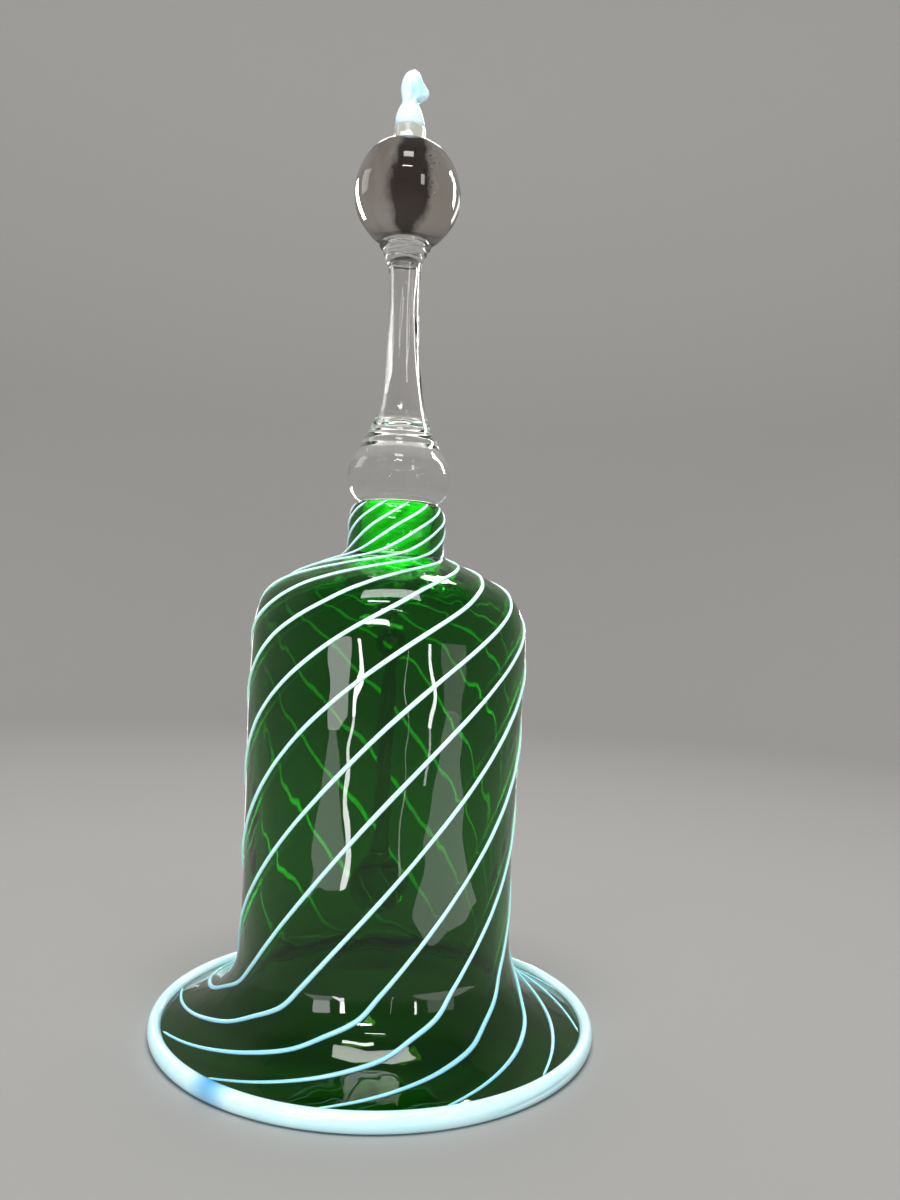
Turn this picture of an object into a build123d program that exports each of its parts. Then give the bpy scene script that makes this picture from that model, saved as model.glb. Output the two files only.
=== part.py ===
# Glass hand bell of the Nailsea type: a green glass bell with opal threads, and a clear glass handle.
# Frame: millimetres, +Z up, the bell stands on its rim. The origin is on the bell's axis, at the
# underside of the rim. The fixed pieces are fused or set in plaster. The clapper hangs on a wire link.
from build123d import *
import math
import os

# Bell glass
RIM_RADIUS = 70.0
WALL = 2.5
NECK_BORE_RADIUS = 11.7
WAIST_RADIUS = 42.7
BELLY_RADIUS = 43.9
NECK_RADIUS = 15.5
BRIM_Z = 3.7
FLARE_TOP_Z = 27.0
WAIST_Z = 45.0
BELLY_Z = 118.0
NECK_BASE_Z = 150.5
NECK_TOP_Z = 167.5
NECK_LIP_RADIUS = 12.8

# White roll around the rim
ROLL_WIDTH = 4.2
ROLL_HEIGHT = 5.6
ROLL_LAND = 1.6

# Raised white threads, laid on the bell's outside as long right-handed spirals
THREADS = 12
THREAD_RADIUS = 0.65
THREAD_PROUD = 0.15
# Height up the bell against the angle turned about its axis, for the first thread
THREAD_ROUTE = [
    (3.9, -283.0),
    (5.0, -273.0),
    (6.6, -261.0),
    (8.6, -248.0),
    (11.0, -236.0),
    (14.2, -227.0),
    (18.5, -216.0),
    (25.0, -208.0),
    (44.0, -186.0),
    (73.0, -153.0),
    (101.0, -118.0),
    (115.0, -97.0),
    (126.0, -77.0),
    (134.0, -59.0),
    (139.5, -45.0),
    (143.0, -31.0),
    (146.5, -7.0),
    (149.0, 20.0),
    (151.5, 45.0),
    (155.0, 67.0),
    (159.0, 88.0),
    (163.5, 114.0),
    (166.4, 131.0),
]
THREAD_RUN = 7.0

# The bowl is one blown piece. It is cut level at these heights, so that each stretch is a simple ring.
STRETCHES = {
    "bell_brim": (0.0, 9.5),
    "bell_flare": (9.5, 27.0),
    "bell_body": (27.0, 118.0),
    "bell_shoulder": (118.0, 150.5),
    "bell_neck": (150.5, 167.5),
}

# Plaster that sets the handle in the neck
PLUG_BLOB_Z = 140.0
PLUG_BLOB_RADIUS = 16.5
PLUG_RIM_Z = 148.6

# Handle
PEG_RADIUS = 7.2
PEG_END_Z = 154.0
KNOP_RADIUS = 16.9
KNOP_TOP_Z = 186.2
FOOT_RING_RADIUS = 12.6
FOOT_RING_HEIGHT = 1.2
STEM_WAIST_RADIUS = 5.1
STEM_TOP_RADIUS = 5.4
STEM_TOP_Z = 247.0
TEAR_END_Z = 191.2
STEM_WALL = 1.2
COLLAR_RADII = [6.1, 7.1, 8.3]
COLLAR_HEIGHT = 2.1
BALL_RADIUS = 17.4
BALL_CENTRE_Z = 269.0
BALL_TOP_Z = 286.0
FINIAL_COLLAR_RADIUS = 5.4
TIP_Z = 291.3
TOTAL_HEIGHT = 310.5

# Clapper, hung from a wire staple set in the plaster
WIRE_RADIUS = 0.8
STAPLE_HALF_WIDTH = 3.2
STAPLE_ARC_Z = 135.5
STAPLE_TOP_Z = 152.5
LINK_WIRE_RADIUS = 0.7
LINK_HALF_WIDTH = 3.0
LINK_STRAIGHT = 5.0
LINK_GAP = 0.4
LOOP_RADIUS = 3.4
LOOP_GLASS_RADIUS = 1.2
ROD_TOP_RADIUS = 2.2
ROD_END_RADIUS = 2.9
BOB_RADIUS = 9.0
BOB_Z = 45.0


def point(radius, height):
    """A point of a turned outline, in the XZ plane."""
    return Vector(radius, 0, height)


def turned(*edges):
    """A solid of revolution about the Z axis, from a closed outline in the XZ plane."""
    return revolve(make_face(Wire(list(edges))), axis=Axis.Z)


def joined(*points):
    """Straight edges through a list of points."""
    return [Line(a, b) for a, b in zip(points, points[1:])]


def outer_line():
    """The bell's outside, from the brim's edge up to the base of the neck."""
    flare = Spline(
        point(RIM_RADIUS - 3.0, BRIM_Z),
        point(57.3, 7.2),
        point(49.6, 11.8),
        point(44.5, 17.8),
        point(WAIST_RADIUS + 0.25, FLARE_TOP_Z),
        tangents=[Vector(-1, 0, 0.28), Vector(0, 0, 1)],
    )
    side = Spline(
        point(WAIST_RADIUS + 0.25, FLARE_TOP_Z),
        point(WAIST_RADIUS, WAIST_Z),
        point(43.4, 80.0),
        point(BELLY_RADIUS, BELLY_Z),
        tangents=[Vector(0, 0, 1), Vector(0, 0, 1)],
    )
    shoulder = Spline(
        point(BELLY_RADIUS, BELLY_Z),
        point(43.2, 128.5),
        point(40.8, 136.0),
        point(32.9, 143.0),
        point(NECK_RADIUS + 2.5, NECK_BASE_Z - 1.2),
        tangents=[Vector(0, 0, 1), Vector(-1, 0, 0.42)],
    )
    return [flare, side, shoulder]


def inset(curve, depth, samples=12):
    """A copy of an outline curve, moved inwards through the glass."""
    points = []
    for i in range(samples + 1):
        along = curve % (i / samples)
        points.append(curve @ (i / samples) + Vector(-along.Z, 0, along.X) * depth)
    return Spline(*points)


def neck_root(shoulder_end, neck_base):
    """The tight curve where the shoulder turns up into the neck."""
    return Spline(shoulder_end, neck_base, tangents=[Vector(-1, 0, 0.42), Vector(0, 0, 1)])


def neck_line(neck_base):
    """The neck's straight side, and its rounded top edge."""
    neck_top = point(NECK_RADIUS, NECK_TOP_Z - 5.0)
    lip = point(NECK_LIP_RADIUS, NECK_TOP_Z)
    return [Line(neck_base, neck_top), Spline(neck_top, lip, tangents=[Vector(0, 0, 1), Vector(-1, 0, 0.8)])]


def bell_bowl():
    """One blown shell: the neck, the shoulder, the body and the wide brim."""
    outside = outer_line()
    inside = [inset(curve, WALL) for curve in outside]
    neck_base = point(NECK_RADIUS, NECK_BASE_Z + 1.0)
    bore_top = point(NECK_BORE_RADIUS, NECK_TOP_Z)
    bore_base = point(NECK_BORE_RADIUS, NECK_BASE_Z - 1.0)
    outline = list(outside)
    outline.append(neck_root(outside[2] @ 1, neck_base))
    outline += neck_line(neck_base)
    outline.append(Line(outline[-1] @ 1, bore_top))
    outline.append(Line(bore_top, bore_base))
    outline.append(Line(bore_base, inside[2] @ 1))
    outline.extend(inside)
    outline.append(Line(inside[0] @ 0, outside[0] @ 0))
    return turned(*outline)


def bowl_stretches(bowl):
    """The bowl's neck, shoulder, body, flare and brim, each a ring of the one shell."""
    rings = {}
    for name, (low, high) in STRETCHES.items():
        slab = Pos(0, 0, (low + high) / 2) * Box(3 * RIM_RADIUS, 3 * RIM_RADIUS, high - low)
        rings[name] = bowl & slab
    return rings


def rim_band():
    """The opal roll wrapped round the brim's edge, with a narrow flat land underneath."""
    middle = RIM_RADIUS - ROLL_WIDTH / 2
    land = math.sqrt(1 - (ROLL_LAND / ROLL_WIDTH) ** 2)
    half_height = ROLL_HEIGHT / (1 + land)
    section = Plane.XZ * Pos(middle, half_height * land) * Ellipse(ROLL_WIDTH / 2, half_height)
    keep = Plane.XZ * Pos(middle, ROLL_HEIGHT) * Rectangle(2 * ROLL_WIDTH, 2 * ROLL_HEIGHT)
    return revolve(section & keep, axis=Axis.Z)


def on_curve(curve, height):
    """The point of a rising outline curve at a given height, and the outward normal there."""
    low, high = 0.0, 1.0
    for _ in range(40):
        middle = (low + high) / 2
        if (curve @ middle).Z < height:
            low = middle
        else:
            high = middle
    along = curve % low
    return curve @ low, Vector(along.Z, 0, -along.X)


def thread_points(curves):
    """Points along one thread's middle line, on the bell's outside."""
    points = []
    for (z0, turn0), (z1, turn1) in zip(THREAD_ROUTE, THREAD_ROUTE[1:]):
        steps = thread_steps(curves, z0, z1, turn1 - turn0)
        for i in range(steps):
            points.append(thread_point(curves, z0 + (z1 - z0) * i / steps, turn0 + (turn1 - turn0) * i / steps))
    points.append(thread_point(curves, *THREAD_ROUTE[-1]))
    return points


def thread_point(curves, height, turn):
    """One point of a thread: raised a little off the glass, then turned about the axis."""
    curve = next(c for c in curves if height <= (c @ 1).Z + 1e-6)
    spot, normal = on_curve(curve, height)
    return (spot + normal * THREAD_PROUD).rotate(Axis.Z, turn)


def thread_steps(curves, low, high, turn):
    """How many runs one stretch of the route needs, so that none is longer than THREAD_RUN."""
    span = (thread_point(curves, high, turn) - thread_point(curves, low, 0)).length
    return max(1, math.ceil(span / THREAD_RUN))


def bend_radii(points):
    """The largest even bend at each inner point: 0.45 of the shorter run, over the half turn's tangent."""
    radii = []
    for before, here, after in zip(points, points[1:], points[2:]):
        turn = (here - before).get_angle(after - here)
        run = min((here - before).length, (after - here).length)
        radii.append(0.45 * run / math.tan(math.radians(turn / 2)))
    return radii


def white_thread(curves):
    """One opal thread: a round rod along straight runs joined by tangent arcs."""
    points = thread_points(curves)
    path = FilletPolyline(*points, radius=bend_radii(points))
    return rod_along(path, THREAD_RADIUS)


def rod_along(path, radius):
    """A round rod along a path."""
    start = Plane(origin=path @ 0, z_dir=path % 0)
    return sweep(start * Circle(radius), path=path)


def lower_knop():
    """The squashed ball at the handle's foot, with the tapered peg that goes down into the plaster."""
    peg_end = point(PEG_RADIUS - 1.2, PEG_END_Z)
    seat = point(PEG_RADIUS, NECK_TOP_Z)
    base = point(NECK_LIP_RADIUS - 0.3, NECK_TOP_Z)
    top = point(FOOT_RING_RADIUS - 0.6, KNOP_TOP_Z)
    side = Spline(base, point(KNOP_RADIUS, 176.0), top, tangents=[Vector(1, 0, 0.5), Vector(-1, 0, 0.6)])
    close = joined(top, point(0, KNOP_TOP_Z), point(0, PEG_END_Z), peg_end, seat, base)
    return turned(side, *close)


def plaster_plug(bowl, staple, knop):
    """The plaster that fills the neck round the peg and the staple, and spreads under the shoulder."""
    edge = point(PLUG_BLOB_RADIUS, PLUG_RIM_Z - 3.5)
    dome = Spline(
        point(0, PLUG_BLOB_Z),
        point(11.0, PLUG_BLOB_Z + 1.0),
        edge,
        tangents=[Vector(1, 0, 0), Vector(0, 0, 1)],
    )
    corners = [edge, point(PLUG_BLOB_RADIUS, PLUG_RIM_Z), point(NECK_BORE_RADIUS + 0.4, PLUG_RIM_Z + 1.4)]
    corners += [point(NECK_BORE_RADIUS + 0.4, NECK_TOP_Z), point(0, NECK_TOP_Z), point(0, PLUG_BLOB_Z)]
    return turned(dome, *joined(*corners)) - bowl - knop - staple


def ring(radius, base, height):
    """A flat glass ring, drawn as a disc with a rounded edge, and solid across the axis."""
    edge = min(radius * 0.3, height / 2 - 0.02)
    disc = Pos(0, 0, base + height / 2) * Cylinder(radius, height)
    return fillet(disc.edges().filter_by(GeomType.CIRCLE), edge)


def stem(base):
    """The drawn stem: a trumpet foot and a long hollow tear inside, open towards the collar."""
    foot = point(FOOT_RING_RADIUS - 1.0, base)
    head = point(STEM_TOP_RADIUS, STEM_TOP_Z)
    outside = Spline(
        foot,
        point(8.6, 195.0),
        point(6.3, 206.0),
        point(5.4, 222.0),
        point(STEM_WAIST_RADIUS, 234.0),
        head,
        tangents=[Vector(-0.75, 0, 1), Vector(0.12, 0, 1)],
    )
    tear_end = point(0, TEAR_END_Z)
    tear_top = point(STEM_TOP_RADIUS - STEM_WALL, STEM_TOP_Z)
    inside = Spline(
        tear_end,
        point(5.6, TEAR_END_Z + 1.2),
        point(7.4, 196.0),
        point(5.9, 201.5),
        point(4.6, 212.0),
        point(STEM_WAIST_RADIUS - STEM_WALL, 234.0),
        tear_top,
        tangents=[Vector(1, 0, 0), Vector(0.12, 0, 1)],
    )
    return turned(outside, Line(head, tear_top), inside, *joined(tear_end, point(0, base), foot))


def ball_knop(base):
    """The solid ball near the handle's top, drawn in a little towards the collar below it."""
    foot = point(COLLAR_RADII[-1] + 0.5, base)
    top = point(FINIAL_COLLAR_RADIUS + 0.4, BALL_TOP_Z)
    side = Spline(
        foot,
        point(14.0, 258.2),
        point(16.8, 263.7),
        point(BALL_RADIUS, BALL_CENTRE_Z),
        point(16.3, 275.4),
        point(10.2, 284.0),
        top,
    )
    return turned(side, *joined(top, point(0, BALL_TOP_Z), point(0, base), foot))


def finial_collar():
    """The short clear neck between the ball and the opal tip."""
    foot = point(FINIAL_COLLAR_RADIUS + 0.2, BALL_TOP_Z)
    top = point(FINIAL_COLLAR_RADIUS - 0.2, TIP_Z)
    side = Spline(foot, point(FINIAL_COLLAR_RADIUS - 0.3, (BALL_TOP_Z + TIP_Z) / 2), top)
    return turned(side, *joined(top, point(0, TIP_Z), point(0, BALL_TOP_Z), foot))


def finial_tip():
    """The opal tip: two lobes with a pinched waist, and a small rounded end."""
    foot = point(FINIAL_COLLAR_RADIUS - 0.8, TIP_Z)
    end = point(0, TOTAL_HEIGHT)
    side = Spline(
        foot,
        point(4.7, 295.0),
        point(3.0, 300.2),
        point(4.4, 304.4),
        point(2.0, 309.4),
        end,
        tangents=[Vector(0.6, 0, 1), Vector(-1, 0, 0)],
    )
    return turned(side, *joined(end, point(0, TIP_Z), foot))


def clapper_staple():
    """The wire staple: a U whose legs are set in the plaster, in the XZ plane."""
    left = point(-STAPLE_HALF_WIDTH, STAPLE_ARC_Z)
    right = point(STAPLE_HALF_WIDTH, STAPLE_ARC_Z)
    bottom = point(0, STAPLE_ARC_Z - STAPLE_HALF_WIDTH)
    leg_in = Line(point(-STAPLE_HALF_WIDTH, STAPLE_TOP_Z), left)
    leg_out = Line(right, point(STAPLE_HALF_WIDTH, STAPLE_TOP_Z))
    return rod_along(Wire([leg_in, ThreePointArc(left, bottom, right), leg_out]), WIRE_RADIUS)


def link_top():
    """Height of the middle of the link's top bend, resting just above the staple's wire."""
    return STAPLE_ARC_Z - STAPLE_HALF_WIDTH + WIRE_RADIUS + LINK_WIRE_RADIUS + LINK_GAP


def link_bottom():
    """Height of the middle of the link's bottom bend, where the clapper's loop hangs."""
    return link_top() - LINK_STRAIGHT - 2 * LINK_HALF_WIDTH


def clapper_link():
    """A closed long wire link in the YZ plane, threaded through the staple."""
    upper = link_top() - LINK_HALF_WIDTH
    lower = link_bottom() + LINK_HALF_WIDTH
    corners = [Vector(0, side * LINK_HALF_WIDTH, z) for side, z in ((1, upper), (-1, upper), (-1, lower), (1, lower))]
    over = ThreePointArc(corners[0], Vector(0, 0, link_top()), corners[1])
    under = ThreePointArc(corners[2], Vector(0, 0, link_bottom()), corners[3])
    path = Wire([over, Line(corners[1], corners[2]), under, Line(corners[3], corners[0])])
    return rod_along(path, LINK_WIRE_RADIUS)


def clapper_rod():
    """The clapper's drawn glass rod, with the round loop that hangs in the link."""
    loop_z = link_bottom() + LINK_WIRE_RADIUS + LOOP_GLASS_RADIUS + LINK_GAP - LOOP_RADIUS
    loop = Pos(0, 0, loop_z) * Rot(90, 0, 0) * Torus(LOOP_RADIUS, LOOP_GLASS_RADIUS)
    top = loop_z - LOOP_RADIUS
    end = BOB_Z + BOB_RADIUS
    rod = Cone(ROD_END_RADIUS, ROD_TOP_RADIUS, top - end)
    return loop + Pos(0, 0, (top + end) / 2) * rod


def clapper_bob():
    """The pear-shaped glass bob at the rod's end."""
    neck = point(ROD_END_RADIUS + 0.4, BOB_Z + BOB_RADIUS)
    end = point(0, BOB_Z - BOB_RADIUS)
    side = Spline(
        neck,
        point(6.4, BOB_Z + 5.6),
        point(BOB_RADIUS, BOB_Z - 0.5),
        end,
        tangents=[Vector(0.5, 0, -1), Vector(-1, 0, 0)],
    )
    return turned(side, *joined(end, point(0, BOB_Z + BOB_RADIUS), neck))


def handle_pieces():
    """The handle above the neck, from its foot ring to the opal tip."""
    pieces = {"stem_foot_ring": ring(FOOT_RING_RADIUS, KNOP_TOP_Z, FOOT_RING_HEIGHT)}
    pieces["stem"] = stem(KNOP_TOP_Z + FOOT_RING_HEIGHT)
    base = STEM_TOP_Z
    for name, radius in zip(("lower", "middle", "upper"), COLLAR_RADII):
        pieces[f"collar_ring_{name}"] = ring(radius, base, COLLAR_HEIGHT)
        base += COLLAR_HEIGHT
    pieces["ball_knop"] = ball_knop(base)
    pieces["finial_collar"] = finial_collar()
    pieces["finial_tip"] = finial_tip()
    return pieces


def thread_pieces():
    """The twelve threads: one shape, turned about the bell's axis."""
    outside = outer_line()
    neck_base = point(NECK_RADIUS, NECK_BASE_Z + 1.0)
    outside.append(neck_root(outside[2] @ 1, neck_base))
    outside += neck_line(neck_base)
    first = white_thread(outside)
    return {f"white_thread_{i + 1:02d}": Rot(0, 0, 360 / THREADS * i) * first for i in range(THREADS)}


def main():
    os.makedirs("parts", exist_ok=True)
    bowl = bell_bowl()
    knop = lower_knop()
    staple = clapper_staple()
    pieces = bowl_stretches(bowl)
    pieces["rim_band"] = rim_band() - bowl
    pieces["lower_knop"] = knop
    pieces["clapper_staple"] = staple
    pieces["plaster_plug"] = plaster_plug(bowl, staple, knop)
    pieces.update(handle_pieces())
    pieces.update(thread_pieces())
    pieces["clapper_link"] = clapper_link()
    pieces["clapper_rod"] = clapper_rod()
    pieces["clapper_bob"] = clapper_bob()
    for name, shape in pieces.items():
        export_step(shape, f"parts/{name}.step")


main()
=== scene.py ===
import math

import bpy
import numpy as np
from mathutils import Matrix, Vector


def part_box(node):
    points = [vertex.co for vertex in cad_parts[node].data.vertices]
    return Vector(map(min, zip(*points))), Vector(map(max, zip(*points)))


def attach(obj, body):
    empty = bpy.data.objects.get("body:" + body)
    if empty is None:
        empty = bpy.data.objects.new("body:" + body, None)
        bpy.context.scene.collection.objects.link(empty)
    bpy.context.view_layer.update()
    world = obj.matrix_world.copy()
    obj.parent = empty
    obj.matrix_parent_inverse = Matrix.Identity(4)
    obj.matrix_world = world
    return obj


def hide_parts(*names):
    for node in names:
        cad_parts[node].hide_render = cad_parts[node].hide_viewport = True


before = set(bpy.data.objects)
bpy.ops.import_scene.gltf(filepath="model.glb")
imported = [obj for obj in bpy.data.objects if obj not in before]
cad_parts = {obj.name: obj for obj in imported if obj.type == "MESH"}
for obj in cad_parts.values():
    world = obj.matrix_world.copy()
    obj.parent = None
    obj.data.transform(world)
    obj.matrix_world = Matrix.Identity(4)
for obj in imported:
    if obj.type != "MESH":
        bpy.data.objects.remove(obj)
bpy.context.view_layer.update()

MM = 0.001
RING = 252
BALL_RING = 192
rng = np.random.default_rng(41)


# ---------------------------------------------------------------- lines and meshes
def through(points, step=1.0):
    """A smooth line (centripetal Catmull-Rom) through 2-D points in mm, at even steps."""
    p = np.array(points, float)
    p = np.vstack([2 * p[0] - p[1], p, 2 * p[-1] - p[-2]])
    out = []
    for a, b, c, d in zip(p, p[1:], p[2:], p[3:]):
        t0 = 0.0
        t1 = t0 + max(np.linalg.norm(b - a), 1e-6) ** 0.5
        t2 = t1 + max(np.linalg.norm(c - b), 1e-6) ** 0.5
        t3 = t2 + max(np.linalg.norm(d - c), 1e-6) ** 0.5
        t = np.linspace(t1, t2, 24, endpoint=False)[:, None]
        a1 = (t1 - t) / (t1 - t0) * a + (t - t0) / (t1 - t0) * b
        a2 = (t2 - t) / (t2 - t1) * b + (t - t1) / (t2 - t1) * c
        a3 = (t3 - t) / (t3 - t2) * c + (t - t2) / (t3 - t2) * d
        b1 = (t2 - t) / (t2 - t0) * a1 + (t - t0) / (t2 - t0) * a2
        b2 = (t3 - t) / (t3 - t1) * a2 + (t - t1) / (t3 - t1) * a3
        out.append((t2 - t) / (t2 - t1) * b1 + (t - t1) / (t2 - t1) * b2)
    out.append(p[-2:-1])
    return spaced(np.vstack(out), step)


def spaced(line, step):
    """The same line with points at even steps."""
    along = np.concatenate([[0], np.cumsum(np.linalg.norm(np.diff(line, axis=0), axis=1))])
    n = max(2, int(round(along[-1] / step)) + 1)
    s = np.linspace(0, along[-1], n)
    return np.stack([np.interp(s, along, line[:, i]) for i in range(line.shape[1])], 1)


def normals(line):
    """Normals on the right-hand side of a rising line: outwards from the axis."""
    d = np.gradient(line, axis=0)
    n = np.stack([d[:, 1], -d[:, 0]], 1)
    return n / np.linalg.norm(n, axis=1, keepdims=True)


def smooth_step(x, low, high):
    t = np.clip((x - low) / (high - low), 0, 1)
    return t * t * (3 - 2 * t)


def steady(x, xs, ys):
    """A smooth curve through points that never overshoots (monotone cubic)."""
    xs, ys = np.array(xs, float), np.array(ys, float)
    h, d = np.diff(xs), np.diff(ys) / np.diff(xs)
    m = np.zeros(len(xs))
    m[0], m[-1] = d[0], d[-1]
    same = d[:-1] * d[1:] > 0
    w1, w2 = 2 * h[1:] + h[:-1], h[1:] + 2 * h[:-1]
    with np.errstate(divide="ignore", invalid="ignore"):
        m[1:-1] = np.where(same, (w1 + w2) / (w1 / d[:-1] + w2 / d[1:]), 0)
    i = np.clip(np.searchsorted(xs, x, side="right") - 1, 0, len(h) - 1)
    t = (x - xs[i]) / h[i]
    a, b = (1 + 2 * t) * (1 - t) ** 2, t * (1 - t) ** 2
    c, e = t * t * (3 - 2 * t), t * t * (t - 1)
    return a * ys[i] + b * h[i] * m[i] + c * ys[i + 1] + e * h[i] * m[i + 1]


def mesh_object(name, verts, faces, sharp=None):
    me = bpy.data.meshes.new(name)
    me.from_pydata([tuple(v) for v in np.asarray(verts) * MM], [], [tuple(f) for f in faces])
    me.update()
    me.polygons.foreach_set("use_smooth", [True] * len(me.polygons))
    if sharp:
        me.set_sharp_from_angle(angle=math.radians(sharp))
    ob = bpy.data.objects.new(name, me)
    bpy.context.scene.collection.objects.link(ob)
    return ob


class Shape:
    """Vertices and faces of one mesh, in mm, gathered shell by shell."""

    def __init__(self):
        self.verts, self.faces, self.count = [], [], 0

    def add(self, verts, faces):
        self.verts.append(np.asarray(verts, float))
        self.faces += [tuple(i + self.count for i in f) for f in faces]
        self.count += len(verts)

    def rings(self, rings, loop=False, start=False, end=False):
        """Rows of points (n, k, 3) joined into a skin; loop joins the last row to the first, start and end cap with a fan."""
        n, k = rings.shape[:2]
        faces = []
        for i in range(n if loop else n - 1):
            a, b = i * k, (i + 1) % n * k
            faces += [(a + j, a + (j + 1) % k, b + (j + 1) % k, b + j) for j in range(k)]
        verts = rings.reshape(-1, 3)
        if start:
            verts = np.vstack([verts, rings[0].mean(0)])
            faces += [((j + 1) % k, j, len(verts) - 1) for j in range(k)]
        if end:
            verts = np.vstack([verts, rings[-1].mean(0)])
            last = (n - 1) * k
            faces += [(last + j, last + (j + 1) % k, len(verts) - 1) for j in range(k)]
        self.add(verts, faces)

    def turned(self, line, ring, push=None, loop=False, bend=None):
        """A turned skin. push(line, theta) gives how far each point moves along its normal; bend moves points in space."""
        theta = np.linspace(0, 2 * np.pi, ring, endpoint=False)
        r = np.repeat(line[:, :1], ring, 1)
        z = np.repeat(line[:, 1:2], ring, 1)
        if push is not None:
            n = normals(line) if not loop else normals(np.vstack([line[-1:], line, line[:1]]))[1:-1]
            d = push(line, theta)
            r, z = r + d * n[:, :1], z + d * n[:, 1:2]
        rows = np.stack([r * np.cos(theta), r * np.sin(theta), z], -1)
        if bend is not None:
            rows = bend(rows)
        self.rings(rows, loop=loop, start=not loop, end=not loop)

    def bubble(self, at, size, stretch=(1, 1, 1), ring=16):
        """A small closed cavity: its skin faces inwards."""
        v = np.linspace(np.pi, 0, ring // 2 + 1)[1:-1]
        line = np.stack([np.sin(v), np.cos(v)], 1)[::-1]
        theta = np.linspace(0, 2 * np.pi, ring, endpoint=False)
        rows = np.stack([
            line[:, :1] * np.cos(theta), line[:, :1] * np.sin(theta), np.repeat(line[:, 1:], ring, 1)
        ], -1)
        rows = rows * size * np.array(stretch) + np.array(at)
        self.rings(rows, start=True, end=True)

    def object(self, name, sharp=None):
        return mesh_object(name, lean(np.vstack(self.verts)), self.faces, sharp)


# ---------------------------------------------------------------- places, from the frame
def span_of(*nodes):
    """Lowest height, highest height and largest radius of some CAD nodes, in mm."""
    boxes = [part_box(n) for n in nodes]
    low = min(b[0].z for b in boxes) / MM
    high = max(b[1].z for b in boxes) / MM
    return low, high, max(b[1].x for b in boxes) / MM


def fitted(line, *nodes):
    """An outline in mm, stretched to the heights and the radius of the CAD nodes that it stands for."""
    low, high, radius = span_of(*nodes)
    line = np.array(line, float)
    z0, z1, r1 = line[:, 1].min(), line[:, 1].max(), line[:, 0].max()
    return np.stack([line[:, 0] * radius / r1, low + (line[:, 1] - z0) * (high - low) / (z1 - z0)], 1)


# How far the hand-made bell leans from a straight axis, in mm along X, height by height
LEAN = [(0, 0), (9, 0), (20, -0.15), (45, -0.4), (75, -0.45), (100, -0.3), (120, 0), (135, -0.15), (146, -0.2), (152, 0.45),
        (160, 0.7), (185, 0.65), (200, 0.45), (215, 0.15), (225, -0.05), (240, -0.25), (252, -0.55), (280, -0.6), (311, -0.95)]


def lean(points):
    """The same points, following the bell's slight lean."""
    points = np.array(points, float)
    heights, shifts = np.array(LEAN, float).T
    points[..., 0] += steady(points[..., 2], heights, shifts)
    return points


# ---------------------------------------------------------------- the bowl
BOWL_NODES = ("bell_brim", "bell_flare", "bell_body", "bell_shoulder", "bell_neck")
OUTLINE = [
    (67.0, 3.5), (62.5, 4.9), (57.3, 7.2), (52.5, 9.8), (48.6, 12.8), (45.4, 17.0), (43.6, 22.0),
    (42.9, 28.0), (42.7, 45.0), (42.9, 60.0), (43.2, 75.0), (43.6, 90.0), (43.85, 102.0), (43.9, 118.0),
    (43.8, 124.5), (43.3, 128.5), (42.2, 132.8), (40.6, 136.2), (37.6, 139.8), (32.8, 143.0),
    (26.2, 146.2), (19.4, 149.0), (16.8, 150.2), (15.7, 152.0), (15.4, 155.0), (15.5, 158.0),
    (15.5, 162.0), (14.6, 165.5), (13.6, 167.0), (12.8, 167.5),
]
FOOT_Z = 1.3
OUTSIDE = fitted(np.vstack([through(OUTLINE, 1.0), [(60, FOOT_Z)]]), *BOWL_NODES)[:-1]
THREADS = 12
# Height in mm against the turn in degrees, for the first thread
ROUTE = np.array([
    (3.9, -283), (5, -273), (6.6, -261), (8.6, -248), (11, -236), (14.2, -227), (18.5, -216), (25, -208),
    (44, -186), (73, -153), (101, -118), (115, -97), (126, -77), (134, -59), (139.5, -45), (143, -31),
    (146.5, -7), (149, 20), (151.5, 45), (155, 67), (159, 88), (163.5, 114), (167.3, 136),
], float)
NECK_BORE = 11.7


def outer_waves(line, theta):
    """Slight unevenness of the blown outside, in mm."""
    z = line[:, 1:2]
    t = theta[None]
    calm = smooth_step(z, 4, 16) * (1 - 0.75 * smooth_step(z, 146, 151)) * (1 - smooth_step(z, 160, 166))
    w = 0.13 * np.sin(2 * t + 1.1 + 0.015 * z) + 0.09 * np.sin(3 * t - 0.7 - 0.022 * z)
    w = w + 0.05 * np.sin(5 * t + 0.05 * z + 2.0) + 0.05 * np.sin(10 * t - 0.19 * z + 1.4 * np.sin(0.07 * z))
    w = w + 0.022 * np.sin(19 * t + 0.33 * z + 0.9 * np.sin(0.11 * z + 2.0))
    return w * calm


def thread_turn(z):
    """Turn of the first thread at a height, in radians."""
    return np.radians(steady(np.clip(z, ROUTE[0, 0], ROUTE[-1, 0]), ROUTE[:, 0], ROUTE[:, 1]))


def inner_waves(line, theta):
    """The inside of the wall: long ripples, and a soft rib behind every thread. Plus moves towards the axis."""
    z = line[:, 1:2]
    t = theta[None]
    calm = smooth_step(z, 8, 22) * (1 - smooth_step(z, 138, 147))
    w = 0.16 * np.sin(4 * t + 0.03 * z) + 0.09 * np.sin(7 * t - 0.055 * z + 1.0)
    w = w + 0.045 * np.sin(11 * t + 0.085 * z + 2.0) + 0.022 * np.sin(17 * t - 0.12 * z + 0.4)
    w = w + 0.012 * np.sin(26 * t + 0.16 * z + 1.7 + 0.8 * np.sin(0.11 * z))
    pitch = 2 * np.pi / THREADS
    off = (t - thread_turn(line[:, 1])[:, None] + pitch / 2) % pitch - pitch / 2
    rib = np.exp(-((off * line[:, :1] * 0.62 / 1.1) ** 2))
    return (w + 0.15 * rib) * calm


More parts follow.
